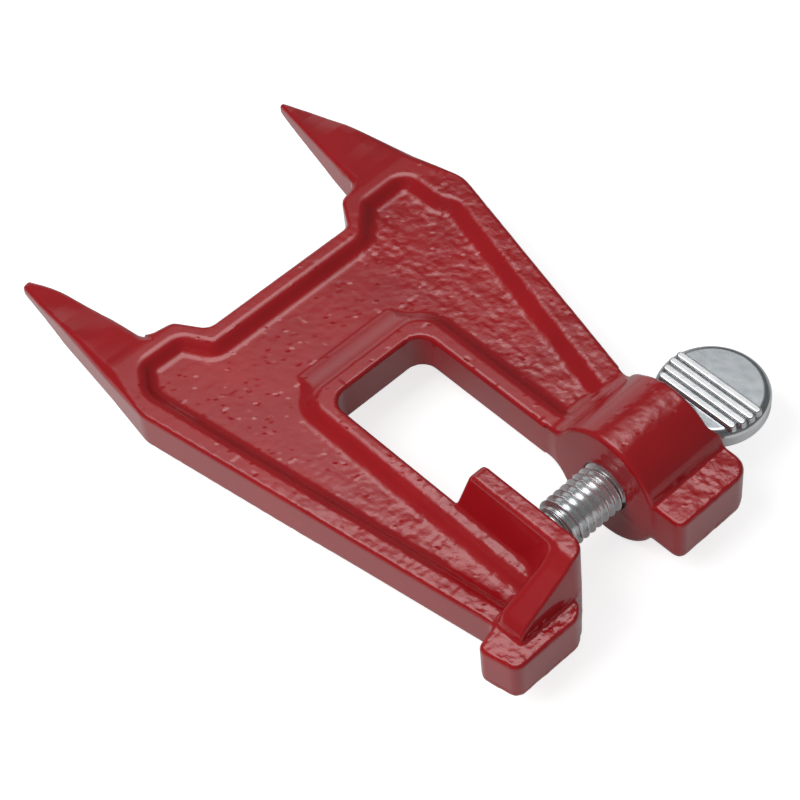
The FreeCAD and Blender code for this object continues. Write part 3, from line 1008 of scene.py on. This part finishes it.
    def form(self, x: Array, y: Array, z: Array, edge: Array, sunk: Array) -> Array:
        """Field of the casting without its rough skin.

        Args:
            x, y, z: Coordinates of the points.
            edge: Distance to the outline in plan.
            sunk: Distance to the web's edge in plan.

        Returns:
            The field.
        """
        up = np.abs(z)
        below = smooth_step(x, *self.foot_extra_x) * (z < 0)
        low = np.maximum(up - self.foot_extra * below, 0)
        plate = self._with_boss(self._plate(x, y, low, edge, sunk), x, y, up)
        body = blended_min(plate, self._jaw(x, y, up), self.jaw_fillet)
        bore = np.maximum(np.hypot(x - SCREW_X, z) - self.bore_radius, self.bore_start - y)
        return rounded_max(body, -bore, self.bore_round)

    def smooth(self, x: Array, y: Array, z: Array) -> Array:
        """Field of the casting without its rough skin, from the points alone."""
        return self.form(x, y, z, self.outline().distance(x, y), self.recess().distance(x, y))

    def rough(self, x: Array, y: Array, z: Array) -> Array:
        """Field of the casting with its rough skin, from the points alone."""
        edge, sunk = self.outline().distance(x, y), self.recess().distance(x, y)
        return self.form(x, y, z, edge, sunk) - self.skin.height(x, y, z, sunk)

    def build(self, finish: Enamel) -> bpy.types.Object:
        """Makes the casting.

        Args:
            finish: Enamel that it is coated with.

        Returns:
            The piece.
        """
        room = self.margin
        grid = Grid((self.tips_x - room, self.near_y - room, -self.jaw_half - room),
                    (self.leg_end + room, self.far_y + room, self.jaw_half + room), self.step)
        vertices, faces = grid.wrap(self.smooth)
        vertices, normals = grid.settle(vertices, self.rough)
        sunk = self.recess().distance(vertices[:, 0], vertices[:, 1])
        piece = make_piece("casting", vertices, faces.tolist(), normals,
                           {"roughcast": self.skin.roughness(*vertices.T, sunk)})
        dress(piece, finish.build(), Body.FRAME, Slot.ENAMEL, "vise_frame")
        return piece


@dataclass(frozen=True)
class ThumbScrew:
    """Clamping screw: plain point, rolled thread, neck, and a flat disc head with finger ribs."""

    # Plain point: places behind its tip, each with how far the surface is inside its radius.
    point_tip: float = 7.6
    point_radius: float = 4.3
    point_profile: tuple[Pair, ...] = (
        (0.0, 3.0), (0.0, 1.6), (0.0, 0.8), (0.05, 0.72), (0.2, 0.56), (0.5, 0.27), (0.72, 0.08),
        (0.8, 0.03), (0.88, 0.01), (1.0, 0.0), (1.8, 0.0), (2.6, 0.0), (3.4, 0.0))
    # Thread: height over the phase, and the places where it fades in and out.
    thread_start: float = 11.1
    thread_end: float = 42.0
    crest_radius: float = 5.5
    thread_depth: float = 1.05
    pitch: float = 1.8
    rows_per_turn: int = 28
    flank_share: float = 0.2
    flank: Span = (0.1, 0.95)
    ridge_start: float = 0.2
    ridge_width: float = 0.7
    ridge_power: float = 1.3
    fade_in: Span = (-0.4, 0.9)
    fade_out: Span = (1.2, 0.2)
    thread_inner: float = 3.6
    # Neck, which ends inside the head.
    neck_rows: Row = (43.0, 44.0, 45.0, 46.0)
    neck_radius: float = 4.4
    neck_inner: float = 3.0
    # Disc and the cone by which the neck runs into it.
    head_centre: float = 56.3
    head_radius: float = 11.9
    half_head: float = 2.75
    head_rim_round: float = 0.3
    head_chamfer: float = 1.15
    head_chamfer_round: float = 0.4
    cone_start: float = 44.6
    cone_lean: float = 0.42
    cone_middle: float = 47.0
    cone_half: float = 3.2
    cone_round: float = 0.4
    cone_fillet: float = 1.0
    # Ribs for the fingers.
    rib_lines: Row = (51.45, 53.55, 55.65, 57.75)
    rib_half: float = 1.03
    rib_height: float = 0.98
    rib_reach: float = 11.3
    rib_shift: float = 0.25
    rib_lean: float = 0.2
    rib_round: float = 0.3
    rib_root: float = 0.5
    rib_fillet: float = 0.1
    # Fine unevenness, and the rib tops and rim, which are left light while the head's other faces
    # get painted shade.
    rough_pitch: float = 1.6
    rough_height: float = 0.004
    bright_z: Span = (3.0, 3.5)
    bright_rim: Span = (11.3, 11.8)
    # Mesh.
    around: int = 112
    head_room: float = 12.6
    head_rows: Pair = (43.0, 69.2)
    head_depth: float = 6.2
    step: float = 0.22

    def _angles(self) -> Array:
        """Angles of the columns about the screw's axis."""
        return 2 * math.pi * np.arange(self.around) / self.around

    def _turned(self, name: str, along: Array, radius: Array) -> bpy.types.Object:
        """Closed piece turned about the screw's axis.

        The surface is (radius sin t, along, radius cos t) for the angle t and the place along
        the axis, and both ends are closed by a fan round one vertex.

        Args:
            name: Name of the piece.
            along: Places of the rows along the axis.
            radius: Radii, a row for each place and a column for each angle.

        Returns:
            The piece.
        """
        rows, columns = radius.shape
        angle = self._angles()
        wall = np.stack([SCREW_X + radius * np.sin(angle),
                         np.broadcast_to(along[:, None], radius.shape),
                         radius * np.cos(angle)], axis=2).reshape(-1, 3)
        poles = np.array([[SCREW_X, along[0], 0.0], [SCREW_X, along[-1], 0.0]])
        row, column = np.meshgrid(np.arange(rows - 1), np.arange(columns), indexing="ij")
        here, after = row * columns + column, row * columns + (column + 1) % columns
        quads = np.stack([here, here + columns, after + columns, after], axis=2).reshape(-1, 4)
        first = np.arange(columns)
        following = (first + 1) % columns
        pole, last = rows * columns, (rows - 1) * columns
        near = np.stack([np.full(columns, pole), first, following], axis=1)
        far = np.stack([np.full(columns, pole + 1), last + following, last + first], axis=1)
        return make_piece(name, np.concatenate([wall, poles]),
                          quads.tolist() + near.tolist() + far.tolist())

    def build_point(self, finish: bpy.types.Material) -> bpy.types.Object:
        """Makes the plain point, whose radius grows over the chamfer and then stays.

        Args:
            finish: Turned zinc plating.

        Returns:
            The piece.
        """
        along, inset = np.array(self.point_profile).T
        radius = (self.point_radius - inset)[:, None] * np.ones(self.around)
        piece = self._turned("plain_point", self.point_tip + along, radius)
        dress(piece, finish, Body.POINT, Slot.ZINC, "screw_point")
        return piece

    def build_thread(self, finish: bpy.types.Material) -> bpy.types.Object:
        """Makes the threaded shank and neck.

        The thread's height at a point is a rounded saw-tooth of its phase, which is the place
        over the pitch less the angle over a whole turn. It fades in over the first half turn
        at the point and out at the neck.

        Args:
            finish: Turned zinc plating.

        Returns:
            The piece.
        """
        rows = np.arange(self.thread_start, self.thread_end, self.pitch / self.rows_per_turn)
        place = rows[:, None]
        phase = (place - self.thread_start) / self.pitch - self._angles() / (2 * math.pi)
        tooth = 2 * np.abs(phase - np.floor(phase) - 0.5)
        ridge = np.clip((tooth - self.ridge_start) / self.ridge_width, 0, 1) ** self.ridge_power
        height = (self.flank_share * smooth_step(tooth, *self.flank)
                  + (1 - self.flank_share) * ridge)
        height = height * band(place, *(self.thread_start + end for end in self.fade_in),
                               *(self.thread_end - end for end in self.fade_out))
        neck = np.array([self.thread_end, *self.neck_rows])
        along = np.concatenate([rows[:1], rows, neck])
        radius = np.concatenate([np.full((1, self.around), self.thread_inner),
                                 self.crest_radius - self.thread_depth * (1 - height),
                                 np.full((len(neck), self.around), self.neck_radius)])
        radius[-1] = self.neck_inner
        piece = self._turned("threaded_shank", along, radius)
        dress(piece, finish, Body.SCREW, Slot.ZINC, "thumb_screw")
        return piece

    def head_form(self, x: Array, y: Array, z: Array) -> Array:
        """Field of the head without its unevenness.

        The disc is the common part of a cylinder, two faces and two cones. The neck runs into
        it as a cone, and each rib is a bar with leaning sides, round ends and a rounded top, on
        the upper face alone.

        Args:
            x, y, z: Coordinates of the points.

        Returns:
            The field.
        """
        across = x - SCREW_X
        far = np.hypot(across, y - self.head_centre)
        up = np.abs(z)
        disc = rounded_max(far - self.head_radius, up - self.half_head, self.head_rim_round)
        bevel = (far + up - self.head_radius - self.half_head + self.head_chamfer) / math.sqrt(2.0)
        disc = rounded_max(disc, bevel, self.head_chamfer_round)
        widened = self.cone_lean * np.maximum(y - self.cone_start, 0)
        cone = leaning(np.hypot(across, z) - self.neck_radius + widened, self.cone_lean)
        cone = rounded_max(cone, np.abs(y - self.cone_middle) - self.cone_half, self.cone_round)
        head = blended_min(disc, cone, self.cone_fillet)
        over = z - self.half_head
        for line in self.rib_lines:
            chord = math.sqrt(self.rib_reach ** 2 - (line - self.head_centre) ** 2)
            half_length = chord - self.rib_half
            beyond = np.maximum(np.abs(across - self.rib_shift) - half_length, 0)
            side = np.hypot(beyond, y - line) - self.rib_half + self.rib_lean * over
            bar = rounded_max(leaning(side, self.rib_lean), over - self.rib_height, self.rib_round)
            head = blended_min(head, np.maximum(bar, -self.rib_root - over), self.rib_fillet)
        return head

    def head_rough(self, x: Array, y: Array, z: Array) -> Array:
        """Field of the head with the fine unevenness of a forging under plating."""
        uneven = self.rough_height * WRINKLES.at(x, y, z, self.rough_pitch)
        return self.head_form(x, y, z) - uneven + self.rough_height

    def build_head(self, finish: bpy.types.Material) -> bpy.types.Object:
        """Makes the head, whose "ridge" values mark the rib tops and rim, left light against
        painted shade.

        Args:
            finish: Zinc plating.

        Returns:
            The piece.
        """
        (start, end), depth = self.head_rows, self.head_depth
        grid = Grid((SCREW_X - self.head_room, start, -depth),
                    (SCREW_X + self.head_room, end, depth), self.step)
        vertices, faces = grid.wrap(self.head_form)
        vertices, normals = grid.settle(vertices, self.head_rough)
        x, y, z = vertices.T
        far = np.hypot(x - SCREW_X, y - self.head_centre)
        # painted shade: ridge is 1 on the rib tops and rim and 0 on the faces between and below
        # the ribs, which zinc_head darkens
        ridge = np.maximum(smooth_step(z, *self.bright_z), smooth_step(far, *self.bright_rim))
        piece = make_piece("disc_head", vertices, faces.tolist(), normals, {"ridge": ridge})
        dress(piece, finish, Body.SCREW, Slot.ZINC)
        return piece


@dataclass(frozen=True)
class Studio:
    """White floor, one soft lamp, pale surroundings and the camera."""

    # Camera, on a sphere round its target: in degrees and millimetres, clip_start in metres.
    azimuth: float = -38.15
    elevation: float = 51.26
    roll: float = 6.43
    distance: float = 477.09
    lens: float = 105.37
    target: Triple = (7.386, 12.032, 0.0)
    clip_start: float = 0.01
    # Glows in reflections: their directions, and cosines to them, each with the strength there.
    glow_way: Triple = (-0.25, 0.15, 0.956)
    glow_steps: tuple[Pair, ...] = (
        (0.84, 0.12), (0.90, 0.45), (0.921, 1.0), (0.938, 1.2), (0.956, 2.6), (0.978, 3.6))
    side_way: Triple = (-0.905, 0.38, 0.19)
    side_steps: tuple[Pair, ...] = ((0.90, 0.0), (0.955, 0.42), (0.98, 0.58))
    fill: float = 0.35
    # Key lamp, in metres and watts.
    key_way: Triple = (-0.15, -0.55, 0.82)
    key_distance: float = 0.8
    key_size: float = 0.5
    key_power: float = 3.8
    # Floor, in metres.
    floor_half: float = 3.0
    floor_colour: Colour = (0.6, 0.6, 0.6, 1.0)
    floor_glow: float = 0.75
    floor_gloss: float = 0.12

    def place_camera(self) -> None:
        """Sets the camera on a sphere round its target, rolled about its line of sight."""
        turn, rise, roll = (math.radians(a) for a in (self.azimuth, self.elevation, self.roll))
        ahead = Vector((-math.cos(rise) * math.cos(turn), -math.cos(rise) * math.sin(turn),
                        -math.sin(rise)))
        right = ahead.cross(Vector((0, 0, 1))).normalized()
        down = ahead.cross(right)
        rolled = math.cos(roll) * right + math.sin(roll) * down
        lowered = math.cos(roll) * down - math.sin(roll) * right
        target = Vector((np.array(self.target) + SHIFT) * MM)
        place = target - ahead * self.distance * MM
        data = bpy.data.cameras.new("camera")
        data.lens = self.lens
        data.clip_start = self.clip_start
        camera = place_object("camera", data)
        turned = Matrix((rolled, -lowered, -ahead)).transposed().to_4x4()
        camera.matrix_world = Matrix.Translation(place) @ turned
        bpy.context.scene.camera = camera

    def hang_key_lamp(self) -> None:
        """Hangs a large soft lamp that is left out of reflections."""
        data = bpy.data.lights.new("key_lamp", "AREA")
        data.shape = "SQUARE"
        data.size = self.key_size
        data.energy = self.key_power
        way = Vector(self.key_way).normalized()
        lamp = place_object("key_lamp", data)
        lamp.location = way * self.key_distance
        lamp.rotation_euler = way.to_track_quat("Z", "Y").to_euler()
        lamp.visible_glossy = False

    @staticmethod
    def _glow(nodes: Nodes, way: Triple, steps: tuple[Pair, ...]) -> Socket:
        """Glow round one direction.

        Its strength is a smooth curve of the cosine of the angle to that direction.

        Args:
            nodes: Nodes of the world.
            way: Middle direction of the glow.
            steps: Cosines, each with the strength there.

        Returns:
            Strength of the glow.
        """
        cosine = nodes.add("ShaderNodeVectorMath", operation="DOT_PRODUCT")
        cosine.inputs[1].default_value = Vector(way).normalized()
        nodes.link(nodes.add("ShaderNodeTexCoord").outputs["Generated"], cosine.inputs[0])
        peak = steps[-1][1]
        stops = [(place, (strength / peak,) * 3 + (1.0,)) for place, strength in steps]
        share = nodes.ramp(cosine.outputs["Value"], *stops, curve="EASE")
        return nodes.maths(Operation.PRODUCT, share, peak)

    def light_surroundings(self) -> None:
        """World: white to the camera, an even fill to matt surfaces, two glows to glossy ones."""
        world = bpy.data.worlds.new("surroundings")
        world.use_nodes = True
        nodes = Nodes(world.node_tree)
        glow = nodes.maths(Operation.SUM, self._glow(nodes, self.glow_way, self.glow_steps),
                           self._glow(nodes, self.side_way, self.side_steps))
        path = nodes.add("ShaderNodeLightPath").outputs
        mixed = nodes.add("ShaderNodeMix", data_type="FLOAT")
        factor, matt, glossy = mixed.inputs[0], mixed.inputs[2], mixed.inputs[3]
        matt.default_value = self.fill
        nodes.link(path["Is Glossy Ray"], factor)
        nodes.link(glow, glossy)
        seen = nodes.maths(Operation.LARGER, mixed.outputs[0], path["Is Camera Ray"])
        background = world.node_tree.nodes["Background"]
        background.inputs["Color"].default_value = WHITE
        nodes.link(seen, background.inputs["Strength"])
        bpy.context.scene.world = world

    def lay_floor(self) -> None:
        """Pale floor that glows to the camera and to glossy rays, and takes the shadow."""
        mesh = bpy.data.meshes.new("floor")
        half = self.floor_half
        mesh.from_pydata([(-half, -half, 0), (half, -half, 0), (half, half, 0), (-half, half, 0)],
                         [], [(0, 1, 2, 3)])
        shader = Shader("white_floor")
        shader.give({"Base Color": self.floor_colour, "Roughness": 1.0,
                     "Specular IOR Level": 0.0, "Emission Color": WHITE})
        path = shader.add("ShaderNodeLightPath").outputs
        plain = shader.maths(Operation.PRODUCT, path["Is Camera Ray"], self.floor_glow)
        gloss = shader.maths(Operation.PRODUCT, path["Is Glossy Ray"], self.floor_gloss)
        shader.link(shader.maths(Operation.LARGER, plain, gloss),
                    shader.surface["Emission Strength"])
        mesh.materials.append(shader.material)
        floor = place_object("floor", mesh)

    def build(self) -> None:
        """Sets up the camera, lights and floor."""
        self.place_camera()
        self.hang_key_lamp()
        self.light_surroundings()
        self.lay_floor()


def main() -> None:
    """Builds the vise and its studio, and reports each piece."""
    logging.basicConfig(level=logging.INFO)
    bpy.context.scene.view_settings.view_transform = "Standard"
    zinc = ZincPlate()
    screw = ThumbScrew()
    threaded = zinc.build("zinc_thread", turned=True)
    pieces = [Casting().build(Enamel()), screw.build_point(threaded), screw.build_thread(threaded),
              screw.build_head(zinc.build("zinc_head", turned=False))]
    for piece in pieces:
        LOG.info("%s: %d faces", piece.name, len(piece.data.polygons))
    Studio().build()


if __name__ == "__main__":
    main()
